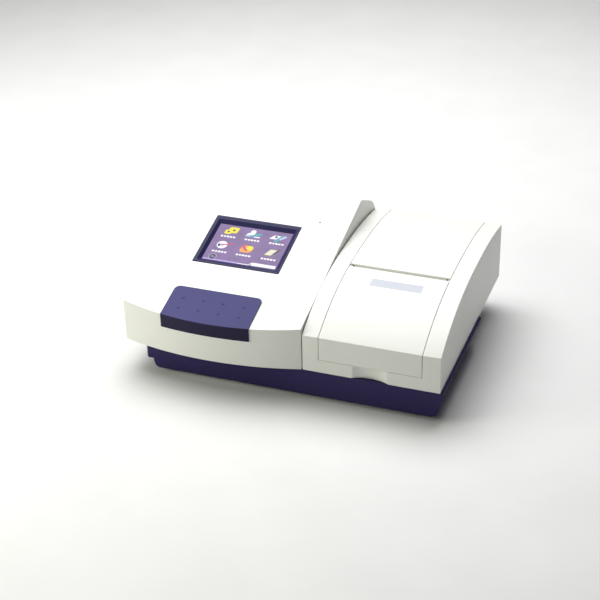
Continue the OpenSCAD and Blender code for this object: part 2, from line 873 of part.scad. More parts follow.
module filter_wheel() {
    color("#b08d3c") place() difference() {
        union() {
            bar_y(wheel_x, wheel_y[0], wheel_y[1], axis_z, wheel_r);
            bar_y(wheel_x, wheel_y[0] - 2, wheel_y[1], axis_z, 5);
        }
        bar_y(wheel_x, 270, 290, axis_z, 1.5);
        translate([wheel_x, 0, axis_z]) for (i = [0:filters - 1])
            rotate([0, i * 360 / filters, 0]) bar_y(-16, 270, 290, 0, filter_r);
    }
}

module filter_glasses() {
    color("#8e5fb0") place() translate([wheel_x, 0, axis_z]) for (i = [0:filters - 1])
        rotate([0, i * 360 / filters, 0])
            bar_y(-16, wheel_y[0] + 0.8, wheel_y[1] - 0.8, 0, filter_r);
}

module wheel_motor() {
    color("#3a3b40") place() difference() {
        union() {
            bar_y(wheel_x, 254, 278, axis_z, 10);
            box([wheel_x - 8, 256, bench_z], [wheel_x + 8, 274, axis_z - 4]);
        }
        bar_y(wheel_x, 258, 279, axis_z, 1.5 + fit);
    }
}

module wheel_shaft() {
    color("silver") place() bar_y(wheel_x, 259, 287, axis_z, 1.5);
}

detector_z = deck_z + 5;

module detector_board() {
    color("#1f6b3a") place() {
        box([mid_x - 36.5, read_y - 11, detector_z], [mid_x + 36.5, read_y + 11, detector_z + 1.6]);
        for (x = [-32, 32], y = [-7, 7])
            bar_z(mid_x + x, read_y + y, deck_z, detector_z + eps, 2.5);
    }
}

module photodiodes() {
    color("#22242a") place() for (i = [0:channels - 1])
        bar_z(channel_x(i), read_y, detector_z + 1.6, detector_z + 5, 2.7);
}

// ---------- rear panel and power ----------

panel_y0 = body_d - wall - 1.6;
panel_y1 = body_d - wall;
inlet_x = [36, 66];
inlet_z = [base_h + 9, base_h + 49];
cavity_x = [39, 63];
cavity_z = [base_h + 13, base_h + 29.5];
drawer_x = [41, 61];
drawer_z = [base_h + 35, base_h + 44];
drawer_y0 = body_d - 20;
switch_x = 84;
switch_z = base_h + 24;
fan_x = 221;
fan_z = base_h + 33;
fan_half = 25;
fan_bore = 23.5;

module rear_panel() {
    color("#9b9ea3") place() difference() {
        box([panel_x0 - 5, panel_y0, deck_z + 0.5], [panel_x1 + 5, panel_y1, panel_z1 + 4]);
        box([inlet_x[0], panel_y0 - 1, inlet_z[0]], [inlet_x[1], panel_y1 + 1, inlet_z[1]]);
        box([switch_x - 9, panel_y0 - 1, switch_z - 12], [switch_x + 9, panel_y1 + 1, switch_z + 12]);
        box([105, panel_y0 - 1, base_h + 16], [135, panel_y1 + 1, base_h + 28]);
        box([147, panel_y0 - 1, base_h + 16], [159, panel_y1 + 1, base_h + 27]);
        bar_y(fan_x, panel_y0 - 1, panel_y1 + 1, fan_z, fan_bore - 1);
    }
}

module mains_inlet() {
    color("#1b1b1e") place() difference() {
        union() {
            box([inlet_x[0], body_d - 24, inlet_z[0]], [inlet_x[1], panel_y1 + 1, inlet_z[1]]);
            box([inlet_x[0] - 2, panel_y1, inlet_z[0] - 2],
                [inlet_x[1] + 2, panel_y1 + 1.6, inlet_z[1] + 2]);
        }
        box([cavity_x[0], body_d - 18, cavity_z[0]], [cavity_x[1], body_d, cavity_z[1]]);
        box([drawer_x[0] - 0.4, drawer_y0 - 0.5, drawer_z[0] - 0.4],
            [drawer_x[1] + 0.4, body_d, drawer_z[1] + 0.4]);
    }
}

module inlet_pins() {
    middle = (cavity_x[0] + cavity_x[1]) / 2;
    color("silver") place() for (p = [[0, 11.5], [-7, 5], [7, 5]])
        box([middle + p[0] - 1, body_d - 18, cavity_z[0] + p[1] - 2],
            [middle + p[0] + 1, body_d - 6.5, cavity_z[0] + p[1] + 2]);
}

module fuse_drawer() {
    color("#26262a") place() difference() {
        box([drawer_x[0], drawer_y0, drawer_z[0]], [drawer_x[1], body_d - 0.4, drawer_z[1]]);
        box([drawer_x[0] + 2, drawer_y0 + 2, drawer_z[0] + 2],
            [drawer_x[1] - 2, drawer_y0 + 13, drawer_z[1] + 1]);
    }
}

module switch_frame() {
    color("#1b1b1e") place() difference() {
        union() {
            box([switch_x - 9, body_d - 16, switch_z - 12],
                [switch_x + 9, panel_y1 + 1, switch_z + 12]);
            box([switch_x - 10.5, panel_y1, switch_z - 13.5],
                [switch_x + 10.5, panel_y1 + 1.2, switch_z + 13.5]);
        }
        box([switch_x - 6.9, body_d - 13, switch_z - 9.9], [switch_x + 6.9, body_d, switch_z + 9.9]);
        bar_x(switch_x - 8.4, switch_x + 8.4, body_d - 5, switch_z, 1 + fit);
    }
}

rocker_tilt = 8;

module power_rocker() {
    color("#2c2c30") place() translate([switch_x, body_d - 5, switch_z])
        rotate([rocker_tilt, 0, 0]) {
            box([-6.4, -3.4, -8.7], [6.4, 3.2, 8.7]);
            bar_x(-8.1, 8.1, 0, 0, 1);
        }
}

module serial_port() {
    color("#a8abb0") place() {
        box([105.2, body_d - 14, base_h + 16.2], [134.8, panel_y1, base_h + 27.8]);
        box([111, panel_y1 - eps, base_h + 17.5], [129, panel_y1 + 2.4, base_h + 26.5]);
        for (x = [107.5, 132.5]) translate([x, panel_y1 - eps, base_h + 22])
            rotate([-90, 30, 0]) cylinder(r = 2.6, h = 2.2, $fn = 6);
    }
}

module usb_port() {
    color("#b4b7bc") place() difference() {
        box([147.2, body_d - 16, base_h + 16.2], [158.8, panel_y1 + 1.5, base_h + 26.8]);
        difference() {
            box([148.2, body_d - 10, base_h + 17.2], [157.8, body_d, base_h + 25.8]);
            box([150.2, body_d - 11, base_h + 20], [155.8, body_d - 2.4, base_h + 23]);
        }
    }
}

module fan_frame() {
    y0 = panel_y0 - 12;
    color("#232327") place() {
        difference() {
            box([fan_x - fan_half, y0, fan_z - fan_half],
                [fan_x + fan_half, panel_y0, fan_z + fan_half]);
            bar_y(fan_x, y0 - 1, panel_y0 + 1, fan_z, fan_bore);
            for (x = [-20.5, 20.5], z = [-20.5, 20.5])
                bar_y(fan_x + x, y0 - 1, panel_y0 + 1, fan_z + z, 2);
        }
        bar_y(fan_x, y0, y0 + 2, fan_z, 9);
        bar_y(fan_x, y0 + 1, panel_y0 - 1, fan_z, 1.5);
        translate([fan_x, y0, fan_z]) for (a = [30:120:270])
            rotate([0, a, 0]) box([0, 0, -1.5], [fan_bore + 1, 2, 1.5]);
    }
}

module fan_rotor() {
    blades = 7;
    y0 = panel_y0 - 9;
    color("#2e2e33") place() difference() {
        union() {
            bar_y(fan_x, y0, y0 + 7.5, fan_z, 9);
            translate([fan_x, y0 + 3.7, fan_z]) for (i = [0:blades - 1])
                rotate([0, i * 360 / blades, 0]) rotate([38, 0, 0])
                    box([8, -4.2, -0.6], [22, 4.2, 0.6]);
        }
        bar_y(fan_x, y0 - 1, y0 + 9, fan_z, 1.5 + fit);
    }
}

// Wire guard in front of the fan
module fan_guard() {
    wire_r = 0.7;
    color("silver") place() translate([fan_x, panel_y1 + wire_r, fan_z]) rotate([-90, 0, 0]) {
        for (r = [6, 12, 18, 23.6])
            rotate_extrude() translate([r, 0]) circle(r = wire_r, $fn = 16);
        for (a = [45, 135]) rotate([0, 90, a]) translate([0, 0, -24.2])
            cylinder(r = wire_r * 0.9, h = 48.4);
    }
}

module power_supply() {
    color("#aeb1b6") place() difference() {
        box([14, 70, deck_z], [124, 190, deck_z + 38]);
        box([15.5, 71.5, deck_z + 1.5], [122.5, 188.5, deck_z + 36.5]);
        for (i = [0:8]) box([24 + i * 10, 85, deck_z + 36], [28 + i * 10, 175, deck_z + 39]);
    }
}

board_x = [136, 262];
board_y = [34, 224];
board_z = deck_z + 8;

module main_board() {
    color("#1f6b3a") place()
        box([board_x[0], board_y[0], board_z], [board_x[1], board_y[1], board_z + 1.6]);
}

module board_chips() {
    top = board_z + 1.6;
    color("#1b1c20") place() {
        for (i = [0:3]) box([146 + i * 28, 60, top], [166 + i * 28, 80, top + 3]);
        for (i = [0:2]) box([150 + i * 34, 110, top], [176 + i * 34, 124, top + 3]);
        box([180, 150, top], [216, 186, top + 5]);
    }
}

module board_standoffs() {
    color("#c9a65a") place() for (x = [board_x[0] + 5, board_x[1] - 5],
        y = [board_y[0] + 5, board_y[1] - 5]) bar_z(x, y, deck_z, board_z, 3);
}

base_tub();
rubber_feet();
base_screws();
chassis_plate();
shell_screws();
console_shell();
front_pad();
display_bezel();
touch_panel();
lcd_module();
display_board();
status_led();
chamber_housing();
chamber_lid();
lid_hinge_pins();
optics_cover();
chamber_liner();
guide_rods();
rod_blocks();
plate_carrier();
carrier_bushes();
drive_belt();
drive_motor();
motor_shaft();
drive_pulley();
idler_bracket();
idler_pin();
idler_pulley();
home_sensor();
optics_bridge();
bridge_posts();
optical_head();
head_lenses();
fibre_bundle();
bundle_holder();
lamp_housing();
halogen_lamp();
condenser_tube();
condenser_lens();
filter_wheel();
filter_glasses();
wheel_motor();
wheel_shaft();
detector_board();
photodiodes();
rear_panel();
mains_inlet();
inlet_pins();
fuse_drawer();
switch_frame();
power_rocker();
serial_port();
usb_port();
fan_frame();
fan_rotor();
fan_guard();
power_supply();
main_board();
board_chips();
board_standoffs();
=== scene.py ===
"""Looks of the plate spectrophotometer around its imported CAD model."""

import json
import math

import bmesh
import bpy
from mathutils import Matrix, Vector
from mathutils.bvhtree import BVHTree


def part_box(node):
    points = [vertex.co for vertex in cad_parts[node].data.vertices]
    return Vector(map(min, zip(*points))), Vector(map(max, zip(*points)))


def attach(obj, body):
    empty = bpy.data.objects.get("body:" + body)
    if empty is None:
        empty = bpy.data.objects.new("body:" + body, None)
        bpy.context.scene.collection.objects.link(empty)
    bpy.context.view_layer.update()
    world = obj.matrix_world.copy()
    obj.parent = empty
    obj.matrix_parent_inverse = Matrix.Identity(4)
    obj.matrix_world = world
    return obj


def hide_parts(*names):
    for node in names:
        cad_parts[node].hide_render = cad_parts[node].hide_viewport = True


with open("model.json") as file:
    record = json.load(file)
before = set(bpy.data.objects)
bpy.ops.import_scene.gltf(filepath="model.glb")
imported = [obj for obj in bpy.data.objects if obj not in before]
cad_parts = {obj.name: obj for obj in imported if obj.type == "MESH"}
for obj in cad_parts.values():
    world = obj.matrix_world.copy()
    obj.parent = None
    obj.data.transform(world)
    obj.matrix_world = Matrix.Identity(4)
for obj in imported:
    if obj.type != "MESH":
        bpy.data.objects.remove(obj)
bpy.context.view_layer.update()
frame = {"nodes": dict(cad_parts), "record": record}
nodes = frame["nodes"]
scene = bpy.context.scene

# ---------- camera ----------

TARGET = Vector((-0.01655, -0.0331, 0.0800))
AZIMUTH, ELEVATION, ROLL = math.radians(20.5), math.radians(29.68), math.radians(-1.24)
DISTANCE = 2.1607
LENS_MM, SENSOR_MM = 86.35, 36.0
FARTHEST = 20


def add_camera():
    """Camera DISTANCE from TARGET, turned about its own line of sight by ROLL."""
    back = Vector((math.sin(AZIMUTH) * math.cos(ELEVATION),
                   -math.cos(AZIMUTH) * math.cos(ELEVATION),
                   math.sin(ELEVATION)))
    camera = bpy.data.objects.new("camera", bpy.data.cameras.new("camera"))
    camera.data.lens = LENS_MM
    camera.data.sensor_width = SENSOR_MM
    camera.data.clip_end = FARTHEST
    turn = back.to_track_quat("Z", "Y").to_matrix().to_4x4()
    camera.matrix_world = (Matrix.Translation(TARGET + back * DISTANCE) @ turn
                           @ Matrix.Rotation(ROLL, 4, "Z"))
    scene.collection.objects.link(camera)
    scene.camera = camera


# ---------- lights and floor ----------


def add_area(name, place, aim, size, tint, power):
    """Rectangular light at place that faces aim, power in watts."""
    light = bpy.data.lights.new(name, "AREA")
    light.shape = "RECTANGLE"
    light.size, light.size_y = size
    light.energy = power
    light.color = tint
    lamp = bpy.data.objects.new(name, light)
    place = Vector(place)
    turn = (place - Vector(aim)).to_track_quat("Z", "Y").to_matrix().to_4x4()
    lamp.matrix_world = Matrix.Translation(place) @ turn
    scene.collection.objects.link(lamp)


SKY_COLOUR, SKY_STRENGTH = (0.95, 0.97, 1.0), 0.04
# place, aim, size, tint and power
LAMPS = {
    "overhead": ((-0.40, 0.60, 1.85), (0, 0.05, 0.05), (2.1, 1.7), (1, 1, 1), 63),
    "left_fill": ((-1.25, -0.85, 0.55), (-0.1, -0.1, 0.07), (0.7, 0.6), (0.99, 1, 0.84), 12.5),
    "right_fill": ((2.3, -0.5, 0.8), (0.1, 0, 0.08), (1.4, 1.0), (1, 1, 1), 2),
}


def add_studio():
    """Faint sky, the lamps and a plain colour transform."""
    world = bpy.data.worlds.new("studio")
    world.use_nodes = True
    background = world.node_tree.nodes["Background"]
    background.inputs["Color"].default_value = (*SKY_COLOUR, 1)
    background.inputs["Strength"].default_value = SKY_STRENGTH
    scene.world = world
    for name, lamp in LAMPS.items():
        add_area(name, *lamp)
    scene.view_settings.view_transform = "Standard"
    scene.view_settings.look = "None"


FLOOR_HALF = 6.0


def add_floor():
    """Plain pale floor under the instrument."""
    half = FLOOR_HALF
    mesh = bpy.data.meshes.new("floor")
    mesh.from_pydata([(-half, -half, 0), (half, -half, 0), (half, half, 0), (-half, half, 0)],
                     [], [(0, 1, 2, 3)])
    floor = bpy.data.objects.new("floor", mesh)
    scene.collection.objects.link(floor)
    mesh.materials.append(textured("pale_floor", (0.76, 0.76, 0.755), 0.75, 40, 0.02, 0.0))


# ---------- materials ----------


COAT_ROUGHNESS = 0.12
DRIFT_SCALE, DRIFT_DETAIL = 9.0, 4.0
DRIFT_DARK_AT, DRIFT_LIGHT_AT = 0.3, 0.7
GRAIN_DETAIL = 3.0
SMOOTHEST, UNEVENNESS = 0.02, 0.06
RELIEF_STRENGTH = 0.5


def link(tree, a, output, b, socket):
    """Joins an output of shader node a to a socket of shader node b."""
    tree.links.new(a.outputs[output], b.inputs[socket])


def textured(name, colour, roughness, grain, tint, relief, metallic=0.0, coat=0.0,
             sheen=0.0, stretch=(1, 1, 1), specular=0.5):
    """Material with grainy relief, uneven roughness and slow colour drift.

    grain is cells a metre, tint the share by which the colour drifts each way, relief metres.
    """
    m = bpy.data.materials.new(name)
    m.use_nodes = True
    tree = m.node_tree
    shader = tree.nodes["Principled BSDF"]
    shader.inputs["Metallic"].default_value = metallic
    shader.inputs["Coat Weight"].default_value = coat
    shader.inputs["Coat Roughness"].default_value = COAT_ROUGHNESS
    shader.inputs["Sheen Weight"].default_value = sheen
    shader.inputs["Specular IOR Level"].default_value = specular
    place = tree.nodes.new("ShaderNodeTexCoord")
    scale = tree.nodes.new("ShaderNodeMapping")
    scale.inputs["Scale"].default_value = stretch
    link(tree, place, "Object", scale, "Vector")

    drift = tree.nodes.new("ShaderNodeTexNoise")
    drift.inputs["Scale"].default_value = DRIFT_SCALE
    drift.inputs["Detail"].default_value = DRIFT_DETAIL
    link(tree, place, "Object", drift, "Vector")
    ramp = tree.nodes.new("ShaderNodeValToRGB")
    ramp.color_ramp.elements[0].position = DRIFT_DARK_AT
    ramp.color_ramp.elements[1].position = DRIFT_LIGHT_AT
    dark = [max(0.0, c * (1 - tint)) for c in colour]
    light = [min(1.0, c * (1 + tint)) for c in colour]
    ramp.color_ramp.elements[0].color = (*dark, 1)
    ramp.color_ramp.elements[1].color = (*light, 1)
    link(tree, drift, "Fac", ramp, "Fac")
    link(tree, ramp, "Color", shader, "Base Color")

    fine = tree.nodes.new("ShaderNodeTexNoise")
    fine.inputs["Scale"].default_value = grain
    fine.inputs["Detail"].default_value = GRAIN_DETAIL
    link(tree, scale, "Vector", fine, "Vector")
    rough = tree.nodes.new("ShaderNodeMapRange")
    rough.inputs["To Min"].default_value = max(SMOOTHEST, roughness - UNEVENNESS)
    rough.inputs["To Max"].default_value = min(1.0, roughness + UNEVENNESS)
    link(tree, fine, "Fac", rough, "Value")
    link(tree, rough, "Result", shader, "Roughness")
    if relief:
        bump = tree.nodes.new("ShaderNodeBump")
        bump.inputs["Strength"].default_value = RELIEF_STRENGTH
        bump.inputs["Distance"].default_value = relief
        link(tree, fine, "Fac", bump, "Height")
        link(tree, bump, "Normal", shader, "Normal")
    return m


FILM_SHARE = 0.25
GLOW_SCALE, GLOW_DETAIL = 60, 2
GLOW_DARK_AT, GLOW_LIGHT_AT = 0.35, 0.65


def lit(name, colour, strength, spread=0.06):
    """Backlit patch of the screen: uneven glow under a satin film."""
    film = [c * FILM_SHARE for c in colour]
    m = textured(name, film, roughness=0.35, grain=2500, tint=0.1, relief=0.0, specular=0.3)
    tree = m.node_tree
    shader = tree.nodes["Principled BSDF"]
    place = tree.nodes.new("ShaderNodeTexCoord")
    glow = tree.nodes.new("ShaderNodeTexNoise")
    glow.inputs["Scale"].default_value = GLOW_SCALE
    glow.inputs["Detail"].default_value = GLOW_DETAIL
    link(tree, place, "Object", glow, "Vector")
    ramp = tree.nodes.new("ShaderNodeValToRGB")
    ramp.color_ramp.elements[0].position = GLOW_DARK_AT
    ramp.color_ramp.elements[1].position = GLOW_LIGHT_AT
    ramp.color_ramp.elements[0].color = (*[c * (1 - spread) for c in colour], 1)
    ramp.color_ramp.elements[1].color = (*[min(1, c * (1 + spread)) for c in colour], 1)
    link(tree, glow, "Fac", ramp, "Fac")
    link(tree, ramp, "Color", shader, "Emission Color")
    shader.inputs["Emission Strength"].default_value = strength
    return m


def srgb(r, g, b):
    """Screen colour of 0 to 255 as linear light, by the sRGB standard's curve."""
    return [(c / 255 / 12.92) if c < 11 else ((c / 255 + 0.055) / 1.055) ** 2.4
            for c in (r, g, b)]


SLOT_LOOKS = {
    "shell_plastic": dict(colour=(0.80, 0.805, 0.765), roughness=0.45, grain=1400, tint=0.012,
                          relief=0.00012),
    "base_plastic": dict(colour=(0.024, 0.017, 0.090), roughness=0.5, grain=1500, tint=0.06,
                         relief=0.00012, specular=0.2),
    "foot_rubber": dict(colour=(0.02, 0.02, 0.022), roughness=0.8, grain=900, tint=0.1,
                        relief=0.0002),
    "screw_steel": dict(colour=(0.62, 0.62, 0.64), roughness=0.32, grain=700, tint=0.05,
                        relief=0.00005, metallic=1.0),
    "sheet_steel": dict(colour=(0.60, 0.61, 0.63), roughness=0.38, grain=500, tint=0.06,
                        relief=0.00005, metallic=1.0, stretch=(1, 12, 1)),
    "ground_steel": dict(colour=(0.72, 0.73, 0.75), roughness=0.16, grain=400, tint=0.03,
                         relief=0.00002, metallic=1.0),
    "pad_elastomer": dict(colour=(0.052, 0.050, 0.168), roughness=0.62, grain=1800, tint=0.05,
                          relief=0.00015, sheen=0.04, specular=0.2),
    "bezel_plastic": dict(colour=(0.024, 0.022, 0.082), roughness=0.40, grain=1800, tint=0.06,
                          relief=0.00004, specular=0.2),
    "circuit_board": dict(colour=(0.015, 0.16, 0.055), roughness=0.35, grain=600, tint=0.12,
                          relief=0.00005, coat=0.3),
    "led_lens": dict(colour=(0.50, 0.56, 0.50), roughness=0.25, grain=900, tint=0.05,
                     relief=0.0),
    "black_plastic": dict(colour=(0.022, 0.022, 0.024), roughness=0.5, grain=1500, tint=0.08,
                          relief=0.00012),
    "black_gloss": dict(colour=(0.018, 0.018, 0.02), roughness=0.18, grain=900, tint=0.05,
                        relief=0.0, coat=0.4),
    "cast_aluminium": dict(colour=(0.66, 0.67, 0.69), roughness=0.34, grain=800, tint=0.04,
                           relief=0.00005, metallic=1.0),
    "carrier_aluminium": dict(colour=(0.085, 0.087, 0.095), roughness=0.42, grain=2200, tint=0.08,
                              relief=0.00005, metallic=0.5),
    "bush_bronze": dict(colour=(0.55, 0.38, 0.16), roughness=0.35, grain=900, tint=0.08,
                        relief=0.00004, metallic=1.0),
    "belt_rubber": dict(colour=(0.02, 0.02, 0.02), roughness=0.7, grain=900, tint=0.1,
                        relief=0.0002),
    "motor_black": dict(colour=(0.03, 0.03, 0.033), roughness=0.4, grain=900, tint=0.08,
                        relief=0.0001, metallic=0.3),
    "lens_glass": dict(colour=(0.82, 0.9, 0.94), roughness=0.05, grain=500, tint=0.01, relief=0.0),
    "fibre_plastic": dict(colour=(0.62, 0.30, 0.05), roughness=0.35, grain=900, tint=0.06,
                          relief=0.00005),
    "lamp_metal": dict(colour=(0.10, 0.10, 0.11), roughness=0.5, grain=900, tint=0.08,
                       relief=0.0001, metallic=0.4),
    "lamp_ceramic": dict(colour=(0.74, 0.70, 0.58), roughness=0.4, grain=700, tint=0.05,
                         relief=0.00005),
    "wheel_brass": dict(colour=(0.58, 0.42, 0.16), roughness=0.3, grain=800, tint=0.06,
                        relief=0.00004, metallic=1.0),
    "filter_glass": dict(colour=(0.30, 0.10, 0.45), roughness=0.06, grain=500, tint=0.1, relief=0.0,
                         coat=0.5),
    "panel_metal": dict(colour=(0.33, 0.34, 0.36), roughness=0.45, grain=1100, tint=0.04,
                        relief=0.00012),
}


def dress_nodes():
    """Gives each CAD node its slot's material and returns the materials by slot."""
    made = {slot: textured(slot, **look) for slot, look in SLOT_LOOKS.items()}
    made["touch_glass"] = lit("touch_glass", srgb(120, 90, 150), 0.60, 0.16)
    for part in frame["record"]["subparts"]:
        data = nodes[part["node"]].data
        data.materials.clear()
        data.materials.append(made[part["material_slot"]])
    return made


STEEP = 0.3  # a face whose normal rises less than this counts as a wall


def paint_pad_wall_shade(made):
    """Painted shade: the pad's walls over the console's front get a darker copy of its colour, for
    the shade they lie in.
    """
    data = nodes["front_pad"].data
    # darker colour that paints shade on the pad's walls
    made["pad_lip_painted_shade"] = textured("pad_lip_painted_shade", (0.022, 0.019, 0.050), 0.60, 1800, 0.06, 0.0001,
                               specular=0.12)
    data.materials.append(made["pad_lip_painted_shade"])
    # faces rising less than STEEP are the walls; they take the painted-shade material
    for p in data.polygons:
        if p.normal.z < STEEP:
            p.material_index = 1


# ---------- edges ----------


EDGE_MM = {"console_shell": 0.5, "chamber_housing": 0.9, "chamber_lid": 0.7, "optics_cover": 0.8,
           "base_tub": 0.4, "front_pad": 0.5, "display_bezel": 0.5, "rear_panel": 0.3,
           "power_supply": 0.5, "chassis_plate": 0.5, "chamber_liner": 0.5}
FINE_EDGE_MM = 0.4  # of every other node, less where a small feature leaves no room
WELD = 2e-6
FLAT_DEG, SHARP_DEG = 0.4, 32


def refine(name, width, clamp, segments):
    """Welds a CAD node's facets, merges its flat ones and rounds its edges."""
    o = nodes[name]
    weld = o.modifiers.new("weld", "WELD")
    weld.merge_threshold = WELD
    flat = o.modifiers.new("flat", "DECIMATE")
    flat.decimate_type = "DISSOLVE"
    flat.angle_limit = math.radians(FLAT_DEG)
    bevel = o.modifiers.new("bevel", "BEVEL")
    bevel.limit_method = "ANGLE"
    bevel.angle_limit = math.radians(SHARP_DEG)
    bevel.width = width
    bevel.segments = segments
    bevel.use_clamp_overlap = clamp
    smooth(o)


def smooth(o):
    """Smooth shading with normals weighted by the faces' areas."""
    for p in o.data.polygons:
        p.use_smooth = True
    normals = o.modifiers.new("normals", "WEIGHTED_NORMAL")
    normals.keep_sharp = True


def round_edges():
    """Rounds every CAD node's edges."""
    for part in frame["record"]["subparts"]:
        node = part["node"]
        if node in EDGE_MM:
            refine(node, EDGE_MM[node] / 1000, clamp=False, segments=3)
        else:
            refine(node, FINE_EDGE_MM / 1000, clamp=True, segments=2)


# ---------- pieces built here ----------


SAME_LEVEL = 1e-5


class Plane:
    """Flat frame in millimetres on a CAD node's top face: x across, s up the slope, h out."""

    def __init__(self, node):
        data = nodes[node].data
        top = max((p for p in data.polygons if p.normal.z > STEEP), key=lambda p: p.area)
        self.n = top.normal.normalized()
        self.x = Vector((1, 0, 0))
        self.s = self.n.cross(self.x).normalized()
        level = max(v.co.dot(self.n) for v in data.vertices)
        face = [v.co for v in data.vertices if v.co.dot(self.n) > level - SAME_LEVEL]
        self.origin = Vector([(min(c[i] for c in face) + max(c[i] for c in face)) / 2
                              for i in range(3)])

    def at(self, x, s, h):
        """The point (x, s, h) in the shared frame."""
        return self.origin + (self.x * x + self.s * s + self.n * h) / 1000

    def span(self, node):
        """Lowest and highest x, s and h of a node here."""
        axes = (self.x, self.s, self.n)
        local = [[(v.co - self.origin).dot(a) * 1000 for a in axes]
                 for v in nodes[node].data.vertices]
        low = [min(c[i] for c in local) for i in range(3)]
        high = [max(c[i] for c in local) for i in range(3)]
        return low, high


def piece(name, verts, faces, material, body="instrument", slot="screw_steel"):
    """New mesh object that rides a body; slot is not used."""
    mesh = bpy.data.meshes.new(name)
    mesh.from_pydata(verts, [], faces)
    mesh.validate()
    mesh.materials.append(material)
    o = bpy.data.objects.new(name, mesh)
    scene.collection.objects.link(o)
    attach(o, body)
    return o


def fix_normals(o):
    """Turns every face outward."""
    bm = bmesh.new()
    bm.from_mesh(o.data)
    bmesh.ops.recalc_face_normals(bm, faces=bm.faces)
    bm.to_mesh(o.data)
    bm.free()


def rect_ring(hx, hy, r, steps=4):
    """Rounded rectangle as a closed loop of (x, y), 4 * (steps + 1) points."""
    ring = []
    for k, (cx, cy) in enumerate([(hx - r, hy - r), (r - hx, hy - r), (r - hx, r - hy),
                                  (hx - r, r - hy)]):
        for i in range(steps + 1):
            a = math.radians(90 * k + 90 * i / steps)
            ring.append((cx + r * math.cos(a), cy + r * math.sin(a)))
    return ring


def loft(rings, closed):
    """Quads between rings of equal length; closed joins the last ring to the first."""
    n = len(rings[0])
    verts = [p for ring in rings for p in ring]
    last = len(rings) if closed else len(rings) - 1
    faces = []
    for k in range(last):
        a, b = k * n, (k + 1) % len(rings) * n
        faces += [(a + i, a + (i + 1) % n, b + (i + 1) % n, b + i) for i in range(n)]
    return verts, faces


BEZEL_OVERLAP = 2.7  # mm of the glass that the bezel covers on each side
BEZEL_CROWN = 1.2  # mm from the console's surface to the lip's top
BEZEL_CORNER, BEZEL_CORNER_LOSS = 1.5, 0.9


def screen_bezel(plane, material):
    """Picture-frame bezel: a crowned lip falling to the screen."""
    low, high = plane.span("display_bezel")
    _, glass = plane.span("touch_panel")
    hx, hs = (high[0] - low[0]) / 2, (high[1] - low[1]) / 2
    mid = ((high[0] + low[0]) / 2, (high[1] + low[1]) / 2)
    window = (glass[0] - BEZEL_OVERLAP, glass[1] - BEZEL_OVERLAP)
    surface = high[2] - BEZEL_CROWN
    # share of the way from the outer edge to the window, and height over the surface
    profile = [(0.0, 0.0), (0.0, 0.35), (0.03, 0.75), (0.09, 1.1), (0.16, BEZEL_CROWN),
               (0.23, 1.1), (0.30, 0.75), (0.36, 0.35), (0.44, 0.1), (0.52, -0.1),
               (0.57, -0.6), (0.80, -2.7), (0.97, -4.25), (1.0, -4.55), (1.0, -8.0),
               (0.25, -8.0), (0.25, 0.0)]
    rings = []
    for f, h in profile:
        r = BEZEL_CORNER - BEZEL_CORNER_LOSS * f
        ring = rect_ring(hx + (window[0] - hx) * f, hs + (window[1] - hs) * f, r)
        rings.append([plane.at(mid[0] + x, mid[1] + s, surface + h) for x, s in ring])
    verts, faces = loft(rings, True)
    o = piece("bezel_frame", verts, faces, material, slot="bezel_plastic")
    fix_normals(o)
    smooth(o)
    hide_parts("display_bezel")


# ---------- the screen's picture ----------


def disc(x, s, r, n=20, a0=0, a1=360):
    """Circle round (x, s), or its sector from a0 to a1 degrees."""
    full = a1 - a0 >= 360
    pts = [(x + r * math.cos(math.radians(a0 + (a1 - a0) * i / n)),
            s + r * math.sin(math.radians(a0 + (a1 - a0) * i / n)))
           for i in range(n if full else n + 1)]
    return pts if full else pts + [(x, s)]


def tile(x, s, w, l, r=1.0, skew=0.0, turn=0.0):
    """Rounded rectangle round (x, s), skewed and turned by degrees."""
    c, d = math.cos(math.radians(turn)), math.sin(math.radians(turn))
    out = []
    for a, b in rect_ring(w / 2, l / 2, min(r, w / 2.1, l / 2.1), 3):
        a += skew * b
        out.append((x + a * c - b * d, s + a * d + b * c))
    return out


def bar(p, q, w):
    """Stroke from p to q."""
    d = Vector((q[0] - p[0], q[1] - p[1])).normalized() * w / 2
    return [(p[0] - d.y, p[1] + d.x), (p[0] + d.y, p[1] - d.x), (q[0] + d.y, q[1] - d.x),
            (q[0] - d.y, q[1] + d.x)]


PATCH_THICKNESS = 0.05


def patches(name, plane, shapes, material):
    """Thin plates on the screen, each an outline and the height of its foot."""
    verts, faces = [], []
    for outline, h in shapes:
        n, k = len(outline), len(verts)
        verts += [plane.at(x, s, h) for x, s in outline]
        verts += [plane.at(x, s, h + PATCH_THICKNESS) for x, s in outline]
        faces += [(k + i, k + (i + 1) % n, k + n + (i + 1) % n, k + n + i) for i in range(n)]
        faces.append(tuple(k + n + i for i in range(n)))
        faces.append(tuple(k + i for i in reversed(range(n))))
    fix_normals(piece(name, verts, faces, material, slot="touch_glass"))


# middles of the pictograms and how far each reaches
ICONS = [(-37.0, 27.4), (0.9, 27.2), (40.6, 27.0), (-36.6, -5.0), (0.4, -5.8), (41.4, -5.6)]
ICON_REACH_X, ICON_REACH_S = 13, 10
ICON_GROWTH = 1.2


def swell(outline):
    """Enlarges an outline about the pictogram it belongs to; others stay as they are."""
    mid = Vector((sum(p[0] for p in outline), sum(p[1] for p in outline))) / len(outline)
    for x, s in ICONS:
        if abs(mid.x - x) < ICON_REACH_X and abs(mid.y - s) < ICON_REACH_S:
            return [(x + (p[0] - x) * ICON_GROWTH, s + (p[1] - s) * ICON_GROWTH)
                    for p in outline]
    return outline


